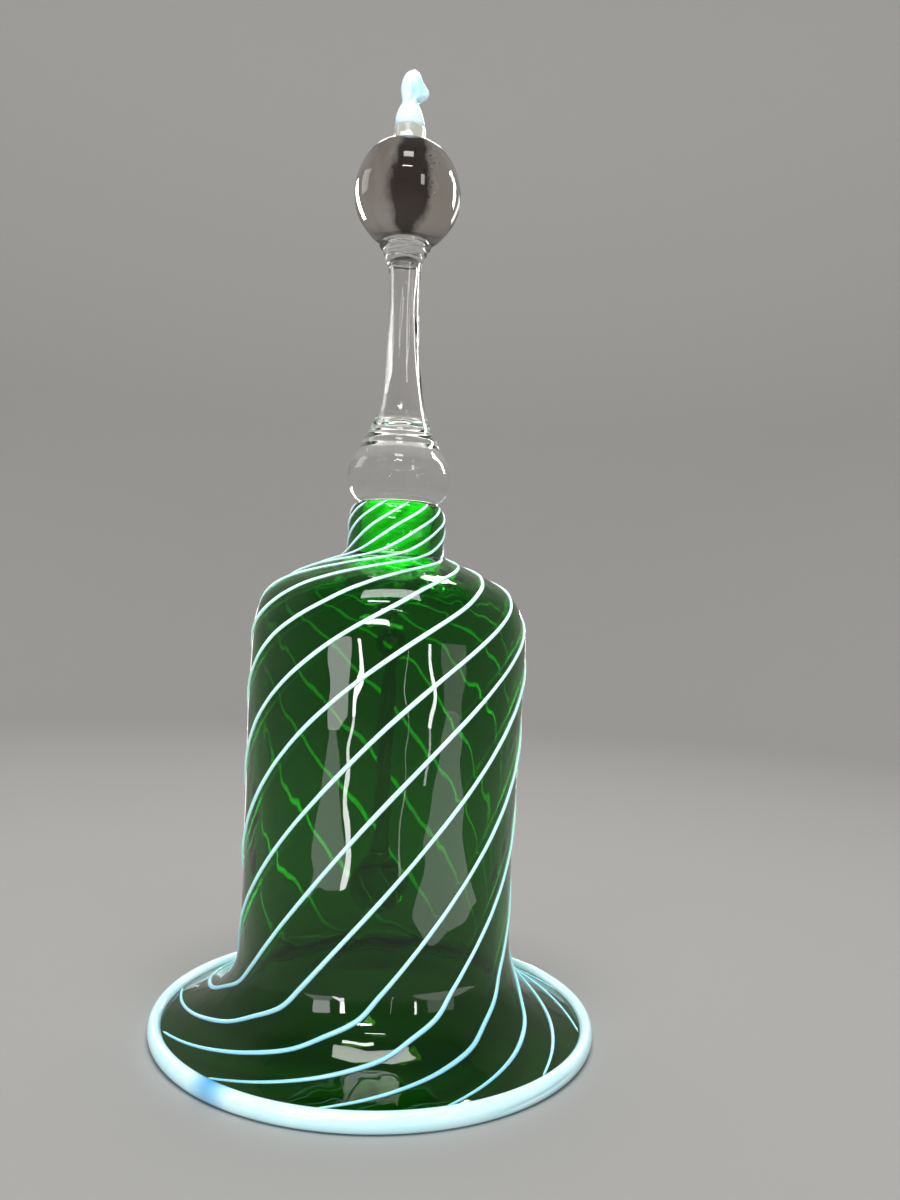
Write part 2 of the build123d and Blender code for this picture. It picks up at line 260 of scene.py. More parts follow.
def bowl():
    wall = 2.45 + 0.3 * smooth_step(OUTSIDE[:, 1], 60, 140)
    under = (OUTSIDE - normals(OUTSIDE) * wall[:, None])[OUTSIDE[:, 1] < 148.2]
    bore = through([(13.4, 148.6), (12.1, 149.5), (NECK_BORE, 151.0), (NECK_BORE, 158.0), (NECK_BORE, 166.8),
                    (11.95, 167.4), (12.3, 167.5)], 0.8)
    inside = through([(66.35, FOOT_Z)] + list(under[5::5]) + [(13.4, 148.6)], 1.0)
    edge = through([tuple(inside[0]), (67.0, 2.2), tuple(OUTSIDE[0])], 0.6)[1:-1]
    shell = np.vstack([OUTSIDE, bore[::-1], inside[:-1][::-1], edge])
    outer = len(OUTSIDE)
    inner = slice(outer + len(bore), outer + len(bore) + len(inside) - 1)

    def push(line, theta):
        d = np.zeros((len(line), len(theta)))
        d[:outer] = outer_waves(line[:outer], theta)
        # the inside follows the outside, and adds its own ripples
        d[inner] = inner_waves(line[inner], theta) - outer_waves(line[inner], theta)
        return d

    s = Shape()
    s.turned(shell, RING, push, loop=True)
    return s.object("bell_glass")


def skin(z, theta):
    """Points and outward normals on the warped outside, at heights z and turns theta."""
    z = np.asarray(z, float)
    rising = OUTSIDE[:, 1]
    i = np.clip(np.searchsorted(rising, z), 1, len(rising) - 1)
    f = np.clip((z - rising[i - 1]) / (rising[i] - rising[i - 1]), 0, 1)[:, None]
    n = normals(OUTSIDE)
    spot = OUTSIDE[i - 1] * (1 - f) + OUTSIDE[i] * f
    norm = n[i - 1] * (1 - f) + n[i] * f
    lift = np.array([outer_waves(spot[k:k + 1], theta[k:k + 1])[0, 0] for k in range(len(z))])
    spot = spot + norm * lift[:, None]
    c, s = np.cos(theta), np.sin(theta)
    p = np.stack([spot[:, 0] * c, spot[:, 0] * s, spot[:, 1]], 1)
    nn = np.stack([norm[:, 0] * c, norm[:, 0] * s, norm[:, 1]], 1)
    return p, nn / np.linalg.norm(nn, axis=1, keepdims=True)


def thread(k):
    """One opal thread laid on the glass: a low half-round trail, thinner at the rim and on the neck."""
    t = np.linspace(0, len(ROUTE) - 1, 460)
    z = steady(t, np.arange(len(ROUTE)), ROUTE[:, 0])
    turn = np.radians(steady(t, np.arange(len(ROUTE)), ROUTE[:, 1]) + 360 / THREADS * k)
    phase = rng.uniform(0, 6.28, 4)
    drift = 0.9 * np.sin(z / 31 + phase[0]) + 0.5 * np.sin(z / 13 + phase[1])
    turn = turn + np.radians(drift * smooth_step(z, 4, 20) * (1 - 0.6 * smooth_step(z, 140, 150)))
    p, n = skin(z, turn)
    line = np.hstack([p, n])
    along = np.concatenate([[0], np.cumsum(np.linalg.norm(np.diff(p, axis=0), axis=1))])
    s = np.arange(0, along[-1], 0.9)
    line = np.stack([np.interp(s, along, line[:, i]) for i in range(6)], 1)
    p, n = line[:, :3], line[:, 3:]
    n = n / np.linalg.norm(n, axis=1, keepdims=True)
    tangent = np.gradient(p, axis=0)
    tangent = tangent / np.linalg.norm(tangent, axis=1, keepdims=True)
    side = np.cross(n, tangent)
    side = side / np.linalg.norm(side, axis=1, keepdims=True)
    zz = p[:, 2]
    width = np.interp(zz, [3.9, 5.5, 9, 22, 40, 120, 140, 150, 167], [0.7, 1.0, 1.3, 1.4, 1.34, 1.3, 1.2, 1.0, 0.95])
    width = width * (1 + 0.06 * np.sin(s / 17 + phase[2]) + 0.04 * np.sin(s / 5.3 + phase[3]))
    height = 0.42 * width
    a = np.linspace(0, 2 * np.pi, 14, endpoint=False)
    ca, sa = np.cos(a), np.sin(a)
    squash = np.where(sa > 0, 1.0, 0.55)
    end = np.clip(np.minimum(np.arange(len(s)), np.arange(len(s))[::-1]) / 2.0, 0.25, 1)
    rows = (
        p[:, None] + n[:, None] * 0.02
        + side[:, None] * (width / 2 * end)[:, None, None] * ca[None, :, None]
        + n[:, None] * (height * end)[:, None, None] * (sa * squash)[None, :, None]
    )
    shape = Shape()
    shape.rings(rows[:, ::-1], start=True, end=True)
    return shape.object(f"thread_{k + 1:02d}")


def rim_roll():
    """The thick opal roll round the brim, with its lap line and slightly uneven section."""
    theta = np.linspace(0, 2 * np.pi, RING * 2, endpoint=False)
    a = np.linspace(0, 2 * np.pi, 44, endpoint=False)
    low, high, radius = span_of("rim_band")
    half_w = 2.08 * (1 + 0.018 * np.sin(3 * theta + 0.5) + 0.012 * np.sin(7 * theta))
    half_h = 2.9 * (1 + 0.012 * np.sin(2 * theta + 2.0) + 0.01 * np.sin(5 * theta + 1.0))
    middle = radius - 0.03 - half_w
    ca, sa = np.cos(a), np.sin(a)
    r = middle[:, None] + half_w[:, None] * ca
    z = 2.69 + half_h[:, None] * sa
    # the lap of the roll: a shallow groove on its outer side, over part of its way round
    deg = (np.degrees(theta) + 180) % 360 - 180
    lap = smooth_step(deg, -62, -56) * (1 - smooth_step(deg, -40, -33))
    line_z = 2.6 + 1.3 * (deg + 47) / 25
    groove = lap[:, None] * np.exp(-(((z - line_z[:, None]) / 0.42) ** 2)) * (ca > 0)
    r = r - 0.28 * groove * ca
    z = np.clip(z, low, high - 0.01)
    rows = np.stack([r * np.cos(theta)[:, None], r * np.sin(theta)[:, None], z], -1)
    n, k = rows.shape[:2]
    faces = []
    for i in range(n):
        b = (i + 1) % n
        faces += [(i * k + j, b * k + j, b * k + (j + 1) % k, i * k + (j + 1) % k) for j in range(k)]
    s = Shape()
    s.add(rows.reshape(-1, 3), faces)
    return s.object("rim_roll")


# ---------------------------------------------------------------- plaster and handle
def plaster_core():
    line = [(0.3, 140.2), (6, 140.4), (11.2, 141.4), (15.2, 143.0), (16.4, 144.8), (15.9, 146.0), (13.2, 147.2),
            (11.7, 148.6), (11.5, 150.5), (11.52, 158.0), (11.52, 166.0), (11.3, 167.3), (7.9, 167.35)]
    line = np.vstack([through(line, 0.6), through([(7.4, 167.0), (7.35, 160), (6.9, 153.7), (0.3, 153.5)], 0.8)])

    def push(line, theta):
        z, t = line[:, 1:2], theta[None]
        low = 1 - smooth_step(z, 145, 149)
        inner = (line[:, :1] > 8) * 1.0
        w = low * (0.35 * np.sin(3 * t + 0.4 * z) + 0.25 * np.sin(5 * t - 0.7 * z + 1) + 0.15 * np.sin(11 * t + z))
        w = w + (1 - low) * (0.06 * np.sin(6 * t + 0.9 * z) + 0.05 * np.sin(13 * t - 1.4 * z) - 0.1)
        return w * inner

    s = Shape()
    s.turned(line, 160, push)
    return s.object("plaster_core", sharp=60)


def slight(amount, seed):
    """Hand-drawn unevenness for a turned piece."""
    g = np.random.default_rng(seed)
    a = g.uniform(0, 6.28, 5)

    def push(line, theta):
        z, t = line[:, 1:2], theta[None]
        fade = smooth_step(line[:, :1], 0.5, 4.0)
        w = np.sin(2 * t + a[0] + 0.03 * z) + 0.6 * np.sin(3 * t + a[1] - 0.06 * z)
        w = w + 0.35 * np.sin(5 * t + a[2] + 0.13 * z) + 0.5 * np.sin(0.35 * z + a[3])
        return amount * w * fade / 2

    return push


GAP = 0.04


def handle_glass():
    """Peg, squashed ball, trumpet foot, hollow stem and stepped rings, fused into one piece of clear glass."""
    peg = through([(0.02, 154.05), (5.6, 154.1), (6.3, 154.9), (7.2, 167.1)], 0.8)
    knop = through([(7.5, 167.6), (12.1, 167.66), (13.2, 168.1), (15.2, 170.2), (16.5, 173.4), (16.85, 176.4),
                    (16.2, 180.0), (14.6, 183.0), (13.2, 185.1), (12.55, 186.5)], 0.6)
    foot = through([(12.5, 187.3), (12.1, 187.9), (10.8, 189.6), (9.6, 192.4), (8.45, 196.0), (7.45, 200.2),
                    (6.6, 205.0), (6.05, 210.0), (5.6, 217.0), (5.3, 226.0), (5.08, 234.0), (5.2, 241.0),
                    (5.45, 246.0), (5.8, 246.9)], 0.8)
    rings = through([(6.15, 247.3), (6.2, 248.1), (6.0, 248.9), (6.3, 249.2), (7.05, 249.6), (7.2, 250.2),
                     (7.05, 250.9), (7.3, 251.25), (8.15, 251.6), (8.4, 252.3), (8.3, 252.9), (7.8, 253.3)], 0.25)
    close = np.array([(6.0, 253.3), (3.0, 253.3), (0.02, 253.3)])
    nodes = ("lower_knop", "stem_foot_ring", "stem", "collar_ring_lower", "collar_ring_middle", "collar_ring_upper")
    outline = fitted(np.vstack([peg, knop, foot, rings, close]), *nodes)
    outline[:, 1] -= GAP * (outline[:, 1] > 250)
    shape = Shape()
    shape.turned(outline, BALL_RING, slight(0.12, 3))
    tear = through([(0.02, 190.9), (3.0, 191.0), (5.6, 191.9), (7.2, 193.9), (7.3, 196.4), (6.4, 200.0), (5.4, 205.0),
                    (4.8, 210.0), (4.35, 218.0), (4.05, 226.0), (3.9, 234.0), (4.0, 241.0), (4.0, 245.2),
                    (3.3, 247.6), (1.8, 248.8), (0.02, 249.2)], 0.7)
    shape.turned(tear[::-1], 128, slight(-0.3, 8))
    for x, y, z, r in ((3.4, -9.0, 179.5, 0.35), (-2.2, -6.0, 176.0, 0.3), (-7.0, 2.0, 181.0, 0.28), (8.5, 4, 174, 0.3)):
        shape.bubble((x, y, z), r, (1, 1, 0.8))
    return shape.object("handle_glass", sharp=48)


def ball_glass():
    line = through([(0.02, 253.3), (4, 253.3), (8.0, 253.34), (9.3, 253.75), (11.4, 255.3), (13.9, 258.2), (15.7, 261.0),
                    (16.9, 264.2), (17.4, 268.0), (17.35, 271.0), (16.9, 273.4), (16.2, 275.8), (15.0, 278.6),
                    (13.3, 281.2), (11.6, 283.0), (9.9, 284.2), (8.0, 285.1), (6.2, 285.75), (5.5, 286.0), (3, 286.0),
                    (0.02, 286.0)], 0.6)
    line = fitted(line, "ball_knop")
    shape = Shape()
    shape.turned(line, BALL_RING, slight(0.1, 5))
    middle = line[:, 1].mean()
    g = np.random.default_rng(9)
    for _ in range(46):
        x, z = g.normal(4.6, 1.5), g.normal(3.9, 3.4)
        y = g.uniform(-9, 3)
        if x * x + y * y + z * z < 15.0 ** 2:
            shape.bubble((x, y, middle + z), g.uniform(0.07, 0.26), (1, 1, g.uniform(0.8, 1.6)), ring=12)
    for x, y, z, r in ((-3.9, -8, 3.4, 0.5), (-4.6, -8.5, 2.0, 0.3), (-2.6, -9, -0.3, 0.28)):
        shape.bubble((x, y, middle + z), r, (1.3, 1, 0.7))
    return shape.object("ball_glass", sharp=50)


def collar_glass():
    line = through([(0.02, 286.0), (4.6, 286.0), (5.35, 286.2), (5.2, 287.4), (5.12, 289.0), (5.2, 290.6),
                    (5.0, 291.2), (3, 291.3), (0.02, 291.3)], 0.4)
    line = fitted(line, "finial_collar") * (0.955, 1)
    line[:, 1] = np.clip(line[:, 1], line[:, 1].min() + GAP, line[:, 1].max() - GAP)
    shape = Shape()
    shape.turned(line, 128, slight(0.12, 7))
    shape.bubble((2.7, -3.2, line[:, 1].mean() + 0.5), 0.62, (1, 1, 0.85), ring=24)
    return shape.object("collar_glass", sharp=50)


def tip_opal():
    """The opal tip: a folded, pinched drop. Its left and right edges are given height by height."""
    rows = np.array([
        # height, left, right, front to back
        (0, -4.55, 4.5, 4.4), (0.5, -4.95, 4.85, 4.8), (2.0, -5.0, 4.6, 4.7), (3.8, -4.75, 4.1, 4.3),
        (6.1, -3.9, 3.3, 3.5), (7.9, -2.85, 2.45, 2.9), (8.8, -2.8, 2.5, 2.8), (9.5, -3.0, 3.9, 2.9),
        (10.2, -3.1, 5.3, 3.0), (10.9, -3.2, 5.8, 3.1), (11.9, -3.35, 5.9, 3.2), (12.9, -3.4, 5.6, 3.2),
        (14.4, -3.25, 4.3, 3.1), (15.6, -2.95, 3.7, 2.9), (17.2, -2.3, 3.15, 2.4), (18.2, -1.4, 2.7, 1.8),
        (18.8, -0.5, 2.1, 1.2),
        (19.1, 0.3, 1.3, 0.5),
    ])
    low, high, _ = span_of("finial_tip")
    h = np.arange(0.0, 19.1, 0.16)
    z = low + 0.02 + h * (high - low - 0.08) / 19.1
    left, right, deep = (np.interp(h, rows[:, 0], rows[:, i]) for i in (1, 2, 3))
    kernel = np.hanning(9) / np.hanning(9).sum()
    smooth = [np.convolve(np.pad(v, 4, mode="edge"), kernel, mode="valid") for v in (left, right, deep)]
    left, right, deep = smooth
    k = 96
    a = np.linspace(0, 2 * np.pi, k, endpoint=False)
    mid, half = (left + right) / 2, (right - left) / 2
    x = mid[:, None] + half[:, None] * np.cos(a)
    y = deep[:, None] * np.sin(a)
    # the lump on the right is narrow front to back, and a crease runs down from it to the left
    lump = smooth_step(h, 9.0, 11.4) * (1 - smooth_step(h, 12.9, 16.0))
    thin = 1 - 0.45 * lump[:, None] * smooth_step(np.cos(a), 0.1, 1.0)[None]
    y = y * thin
    crease_x = np.interp(h, [4.4, 7.4, 9.4, 11.4, 14.4], [-2.6, -0.6, 0.9, 1.4, 0.2])
    depth = np.interp(h, [3.4, 6.4, 9.4, 13.4, 16.4], [0, 0.35, 0.75, 0.55, 0])
    front = np.exp(-(((x - crease_x[:, None]) / 0.9) ** 2)) * np.clip(-np.sin(a), 0, 1)[None]
    y = y + depth[:, None] * front
    back = np.exp(-(((x + 0.5 - crease_x[:, None]) / 1.1) ** 2)) * np.clip(np.sin(a), 0, 1)[None]
    y = y - 0.7 * depth[:, None] * back
    s = Shape()
    s.rings(np.stack([x, y, np.repeat(z[:, None], k, 1)], -1), start=True, end=True)
    return s.object("tip_opal", sharp=60)


# ---------------------------------------------------------------- clapper
def tube(shape, path, radius, ring=16, loop=False, push=None):
    """A round wire along a path of 3-D points in mm."""
    p = np.asarray(path, float)
    if loop:
        tangent = np.roll(p, -1, 0) - np.roll(p, 1, 0)
    else:
        tangent = np.gradient(p, axis=0)
    tangent = tangent / np.linalg.norm(tangent, axis=1, keepdims=True)
    up = np.array([0.0, 1, 0]) if abs(tangent[:, 1]).max() < 0.5 else np.array([1.0, 0, 0])
    side = np.cross(tangent, up)
    side = side / np.linalg.norm(side, axis=1, keepdims=True)
    other = np.cross(side, tangent)
    a = np.linspace(0, 2 * np.pi, ring, endpoint=False)
    r = np.full(len(p), float(radius)) if np.isscalar(radius) else np.asarray(radius)
    if push is not None:
        r = r * push
    rows = p[:, None] + r[:, None, None] * (
        side[:, None] * np.cos(a)[None, :, None] + other[:, None] * np.sin(a)[None, :, None])
    shape.rings(rows[:, ::-1], loop=loop, start=not loop, end=not loop)


def staple_wire():
    low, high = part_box("clapper_staple")
    r = (high.y - low.y) / 2 / MM * 0.96
    half = (high.x - low.x) / 2 / MM - r / 0.96
    arc_z = low.z / MM + r / 0.96 + half
    a = np.linspace(np.pi, 2 * np.pi, 30)
    down = [(-half, 0, z) for z in np.arange(high.z / MM - 0.2, arc_z + 0.3, -0.6)]
    bend = [(half * math.cos(t), 0, arc_z + half * math.sin(t)) for t in a]
    rise = [(half, 0, z) for z in np.arange(arc_z + 0.6, high.z / MM - 0.1, 0.6)]
    s = Shape()
    tube(s, down + bend + rise, r)
    return s.object("staple_wire")


def link_wire():
    low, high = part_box("clapper_link")
    r = (high.x - low.x) / 2 / MM
    half = (high.y - low.y) / 2 / MM - r
    top, bottom = high.z / MM - r - half, low.z / MM + r + half
    a = np.linspace(0, np.pi, 24)
    over = [(0, half * math.cos(t), top + half * math.sin(t)) for t in a]
    sides = [(0, -half, z) for z in np.linspace(top, bottom, 10)[1:-1]]
    under = [(0, -half * math.cos(t), bottom - half * math.sin(t)) for t in a]
    back = [(0, half, z) for z in np.linspace(bottom, top, 10)[1:-1]]
    s = Shape()
    tube(s, over + sides + under + back, r * 0.97, loop=True)
    return s.object("link_wire")


def clapper_drop():
    """The drawn glass rod with its loop, run into the pear-shaped bob."""
    low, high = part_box("clapper_rod")
    wire = (high.y - low.y) / 2 / MM
    loop_r = (high.x - low.x) / 2 / MM - 1.2
    loop_z = high.z / MM - 1.2 - loop_r
    s = Shape()
    blo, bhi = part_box("clapper_bob")
    bob_r = (bhi.x - blo.x) / 2 / MM - 0.05
    bob_z = (blo.z + bhi.z) / 2 / MM
    rod_top = loop_z - loop_r
    a = np.linspace(-np.pi / 2, 1.5 * np.pi, 61)
    ring_path = [(loop_r * math.cos(t), 0, loop_z + loop_r * math.sin(t)) for t in a[2:-2]]
    fat = 1.17 * np.interp(np.linspace(0, 1, len(ring_path)), [0, 0.08, 0.5, 0.92, 1], [1, 1, 0.96, 1, 1])
    tube(s, ring_path, fat)
    line = through([(0.02, blo.z / MM + 0.03), (4.2, blo.z / MM + 0.6), (7.3, bob_z - 5.6), (bob_r, bob_z - 0.4),
                    (bob_r - 0.9, bob_z + 3.4), (5.6, bob_z + 6.6), (3.5, bob_z + 9.2), (2.8, bob_z + 14),
                    (2.5, bob_z + 40), (2.15, rod_top - 1.0), (1.5, rod_top + 0.5), (0.02, rod_top + 0.9)], 1.0)
    s.turned(line, 64, slight(0.1, 12))
    return s.object("clapper_drop")


# ---------------------------------------------------------------- materials
def material(name):
    m = bpy.data.materials.new(name)
    m.use_nodes = True
    t = m.node_tree
    t.nodes.clear()
    out = t.nodes.new("ShaderNodeOutputMaterial")
    return m, t, out


def node(t, kind, **values):
    n = t.nodes.new(kind)
    for k, v in values.items():
        if k in n.inputs:
            n.inputs[k].default_value = v
        else:
            setattr(n, k, v)
    return n


def by_height(t, stops):
    """A colour that changes with height. stops: (z in mm, linear colour)."""
    place = node(t, "ShaderNodeTexCoord")
    split = node(t, "ShaderNodeSeparateXYZ")
    t.links.new(place.outputs["Object"], split.inputs[0])
    low, high = stops[0][0] * MM, stops[-1][0] * MM
    span = node(t, "ShaderNodeMapRange")
    span.inputs["From Min"].default_value = low
    span.inputs["From Max"].default_value = high
    t.links.new(split.outputs["Z"], span.inputs["Value"])
    ramp = node(t, "ShaderNodeValToRGB")
    e = ramp.color_ramp.elements
    while len(e) > 1:
        e.remove(e[-1])
    for i, (z, c) in enumerate(stops):
        at = (z * MM - low) / (high - low)
        el = e[0] if i == 0 else e.new(at)
        el.position = at
        el.color = (*c, 1)
    t.links.new(span.outputs[0], ramp.inputs["Fac"])
    return ramp.outputs["Color"]


def bump(t, scale, distance, stretch=(1, 1, 1), detail=2.0, strength=1.0):
    place = node(t, "ShaderNodeTexCoord")
    mapping = node(t, "ShaderNodeMapping")
    mapping.inputs["Scale"].default_value = stretch
    noise = node(t, "ShaderNodeTexNoise", Scale=scale, Detail=detail)
    b = node(t, "ShaderNodeBump", Strength=strength, Distance=distance)
    t.links.new(place.outputs["Object"], mapping.inputs["Vector"])
    t.links.new(mapping.outputs[0], noise.inputs["Vector"])
    t.links.new(noise.outputs["Fac"], b.inputs["Height"])
    return b.outputs["Normal"]


def glass(name, tint, shade, depth=None, density=0.0, ior=1.5, roughness=0.02, wave=None, clarity=1.0):
    """Glass: a colour at each skin, a colour that deepens with thickness, and light let through to what is inside."""
    m, t, out = material(name)
    p = node(t, "ShaderNodeBsdfPrincipled", Roughness=roughness, IOR=ior)
    p.inputs["Transmission Weight"].default_value = clarity
    if isinstance(tint, list):
        t.links.new(by_height(t, tint), p.inputs["Base Color"])
    elif callable(tint):
        t.links.new(tint(t), p.inputs["Base Color"])
    else:
        p.inputs["Base Color"].default_value = (*tint, 1)
    if wave:
        t.links.new(bump(t, *wave), p.inputs["Normal"])
    clear = node(t, "ShaderNodeBsdfTransparent")
    clear.inputs[0].default_value = (*shade, 1)
    path = node(t, "ShaderNodeLightPath")
    mix = node(t, "ShaderNodeMixShader")
    t.links.new(path.outputs["Is Shadow Ray"], mix.inputs[0])
    t.links.new(p.outputs[0], mix.inputs[1])
    t.links.new(clear.outputs[0], mix.inputs[2])
    t.links.new(mix.outputs[0], out.inputs["Surface"])
    if depth:
        v = node(t, "ShaderNodeVolumeAbsorption")
        v.inputs["Color"].default_value = (*depth, 1)
        v.inputs["Density"].default_value = density
        t.links.new(v.outputs[0], out.inputs["Volume"])
    return m


def opal(name, colour, roughness=0.12, radius=0.8, weight=0.5):
    m, t, out = material(name)
    p = node(t, "ShaderNodeBsdfPrincipled", Roughness=roughness, IOR=1.5)
    if callable(colour):
        t.links.new(colour(t), p.inputs["Base Color"])
    else:
        p.inputs["Base Color"].default_value = (*colour, 1)
    p.inputs["Subsurface Weight"].default_value = weight
    p.inputs["Subsurface Radius"].default_value = (0.8, 1.0, 1.0)
    p.inputs["Subsurface Scale"].default_value = radius * MM
    t.links.new(p.outputs[0], out.inputs["Surface"])
    return m


def mixed(t, a, b, fac):
    mix = node(t, "ShaderNodeMix")
    mix.data_type = "RGBA"
    t.links.new(fac, mix.inputs["Factor"])
    for value, socket in ((a, mix.inputs[6]), (b, mix.inputs[7])):
        if isinstance(value, tuple):
            socket.default_value = (*value, 1)
        else:
            t.links.new(value, socket)
    return mix.outputs[2]


def cloud(t, scale, low, high, stretch=(1, 1, 1)):
    place = node(t, "ShaderNodeTexCoord")
    mapping = node(t, "ShaderNodeMapping")
    mapping.inputs["Scale"].default_value = stretch
    noise = node(t, "ShaderNodeTexNoise", Scale=scale, Detail=3.0)
    span = node(t, "ShaderNodeMapRange")
    span.inputs["From Min"].default_value = low
    span.inputs["From Max"].default_value = high
    t.links.new(place.outputs["Object"], mapping.inputs["Vector"])
    t.links.new(mapping.outputs[0], noise.inputs["Vector"])
    t.links.new(noise.outputs["Fac"], span.inputs["Value"])
    return span.outputs[0]


def near(t, at, size, soft):
    """1 close to a point of the object (mm), falling to 0 over the soft distance outside size."""
    place = node(t, "ShaderNodeTexCoord")
    away = node(t, "ShaderNodeVectorMath")
    away.operation = "DISTANCE"
    away.inputs[1].default_value = tuple(v * MM for v in at)
    t.links.new(place.outputs["Object"], away.inputs[0])
    span = node(t, "ShaderNodeMapRange")
    span.inputs["From Min"].default_value = (size + soft) * MM
    span.inputs["From Max"].default_value = size * MM
    t.links.new(away.outputs["Value"], span.inputs["Value"])
    return span.outputs[0]


OPAL = (0.66, 0.92, 0.98)
OPAL_BLUE = (0.30, 0.62, 0.80)
# The glass green by height: olive at the brim, darkest on the body, lighter on the neck. The lighter neck is painted
# light and the darker body painted shade, not a change in the glass itself.
GREEN_WITH_PAINTED_LIGHT = [
    (0, (0.52, 0.33, 0.08)),
    (14, (0.36, 0.33, 0.08)),
    (40, (0.12, 0.46, 0.07)),
    (125, (0.09, 0.50, 0.07)),
    (139, (0.09, 0.52, 0.07)),
    (144, (0.15, 0.74, 0.14)),
    (151, (0.25, 0.95, 0.30)),
    (168, (0.25, 0.98, 0.32)),
]


def thread_colour(t):
    return by_height(t, [(0, OPAL_BLUE), (12, OPAL_BLUE), (34, (0.52, 0.86, 0.96)), (120, OPAL), (168, (0.60, 0.92, 0.97))])


def roll_colour(t):
    base = mixed(t, OPAL, (0.52, 0.84, 0.95), cloud(t, 60, 0.35, 0.75))
    at = math.radians(-128.5)
    spot = (67.2 * math.cos(at), 67.2 * math.sin(at), 4.6)
    return mixed(t, base, (0.10, 0.38, 0.66), near(t, spot, 1.5, 6.5))


def tip_colour(t):
    base = mixed(t, (0.66, 0.89, 0.94), (0.49, 0.76, 0.87), cloud(t, 190, 0.42, 0.68))
    return mixed(t, base, (0.36, 0.68, 0.88), near(t, (0.6, -3.0, 303.0), 0.6, 2.4))


def math_node(t, operation, a, b=0.0):
    """One sum on a value, or on two."""
    n = node(t, "ShaderNodeMath")
    n.operation = operation
    for value, socket in ((a, n.inputs[0]), (b, n.inputs[1])):
        if isinstance(value, (int, float)):
            socket.default_value = value
        else:
            t.links.new(value, socket)
    return n.outputs[0]


def wisps_and_painted_shade_bands(t):
    """Painted shade: three dark upright bands round the ball, one of them at the front, with light glass behind each.
    The bands stand in for dark surroundings seen through the ball, and faint smoky wisps tint the light glass.
    """
    wisps = cloud(t, 55, 0.46, 0.60, (1.0, 1.0, 0.30))
    place = node(t, "ShaderNodeTexCoord")
    split = node(t, "ShaderNodeSeparateXYZ")
    t.links.new(place.outputs["Object"], split.inputs[0])
    turn = math_node(t, "ARCTAN2", split.outputs["X"], math_node(t, "MULTIPLY", split.outputs["Y"], -1.0))
    wander = math_node(t, "MULTIPLY", cloud(t, 120, 0.3, 0.7, (1.0, 1.0, 0.5)), 1.1)
    phase = math_node(t, "ADD", math_node(t, "MULTIPLY", turn, 3.0), math_node(t, "SUBTRACT", wander, 0.55))
    band = node(t, "ShaderNodeMapRange")
    band.inputs["From Min"].default_value = 0.10
    band.inputs["From Max"].default_value = 0.75
    t.links.new(math_node(t, "COSINE", phase), band.inputs["Value"])
    light = mixed(t, (0.97, 0.96, 0.94), (0.60, 0.54, 0.48), wisps)
    # the near-black colour of the bands is painted shade, not a tint in the glass
    return mixed(t, light, (0.020, 0.013, 0.010), band.outputs[0])


def clear_colour(t):
    """Nearly colourless, with faint grey cords drawn out along the handle."""
    return mixed(t, (0.99, 0.985, 0.98), (0.88, 0.87, 0.86), cloud(t, 130, 0.48, 0.72, (1, 1, 0.15)))


def milky_colour(t):
    return mixed(t, (0.95, 0.97, 0.90), (0.84, 0.86, 0.77), cloud(t, 320, 0.42, 0.66))


def clapper_colour(t):
    return mixed(t, (0.10, 0.50, 0.10), (0.06, 0.34, 0.07), cloud(t, 110, 0.40, 0.66, (1, 1, 0.25)))


def plaster_material():
    m, t, out = material("plaster")
    p = node(t, "ShaderNodeBsdfPrincipled", Roughness=0.9)
    # Painted light and shade: the plaster is pale where it bulges under the shoulder and darker up inside the neck; the
    # cloud gives its own uneven tone.
    painted_light_and_shade_by_z = by_height(t, [(140, (0.92, 0.91, 0.86)), (148, (0.90, 0.89, 0.84)), (152, (0.64, 0.63, 0.58)), (168, (0.62, 0.61, 0.56))])
    c = mixed(t, painted_light_and_shade_by_z, (0.46, 0.45, 0.41), cloud(t, 220, 0.45, 0.85, (1, 1, 2.5)))
    t.links.new(c, p.inputs["Base Color"])
    t.links.new(bump(t, 420, 0.0005, (1, 1, 3.0), 3.0), p.inputs["Normal"])
    t.links.new(p.outputs[0], out.inputs["Surface"])
    return m


def wire_material():
    m, t, out = material("wire")
    p = node(t, "ShaderNodeBsdfPrincipled", Roughness=0.45)
    rust = cloud(t, 900, 0.42, 0.62)
    t.links.new(mixed(t, (0.42, 0.41, 0.39), (0.20, 0.085, 0.035), rust), p.inputs["Base Color"])
    p.inputs["Metallic"].default_value = 0.75
    t.links.new(bump(t, 1800, 0.0001), p.inputs["Normal"])
    t.links.new(p.outputs[0], out.inputs["Surface"])
    return m


def paint(ob, mat):
    ob.data.materials.clear()
    ob.data.materials.append(mat)


def place(ob, mat, body, slot, *nodes):
    paint(ob, mat)
    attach(ob, body)
    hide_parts(*nodes)
    return ob


green = glass("green_glass", GREEN_WITH_PAINTED_LIGHT, (0.30, 0.85, 0.28), depth=(0.03, 0.73, 0.09), density=385,
              roughness=0.012, wave=(55, 0.0006, (1, 1, 0.45), 2.0))
clear = glass("clear_glass", clear_colour, (0.96, 0.96, 0.96), roughness=0.01, wave=(70, 0.0003, (1, 1, 0.22), 2.0))
# the ball: a light smoky tint in the glass, with painted shade bands on its skin
ball_tint_and_painted_shade = glass("tinted_glass", wisps_and_painted_shade_bands, (0.80, 0.78, 0.76), depth=(0.50, 0.42, 0.34), density=20, roughness=0.01)
milky = glass("milky_glass", milky_colour, (0.9, 0.9, 0.9), roughness=0.02, wave=(260, 0.0001, (1, 1, 0.5), 2.0),
              clarity=0.40)
clapper_green = glass("clapper_glass", clapper_colour, (0.4, 0.75, 0.4), roughness=0.02,
                      wave=(90, 0.0002, (1, 1, 0.3), 2.0))
thread_opal = opal("thread_opal", thread_colour, radius=0.7, weight=0.6)
roll_opal = opal("roll_opal", roll_colour, roughness=0.16, radius=1.6, weight=0.4)
tip_mat = opal("tip_opal_glass", tip_colour, roughness=0.14, radius=1.2, weight=0.5)

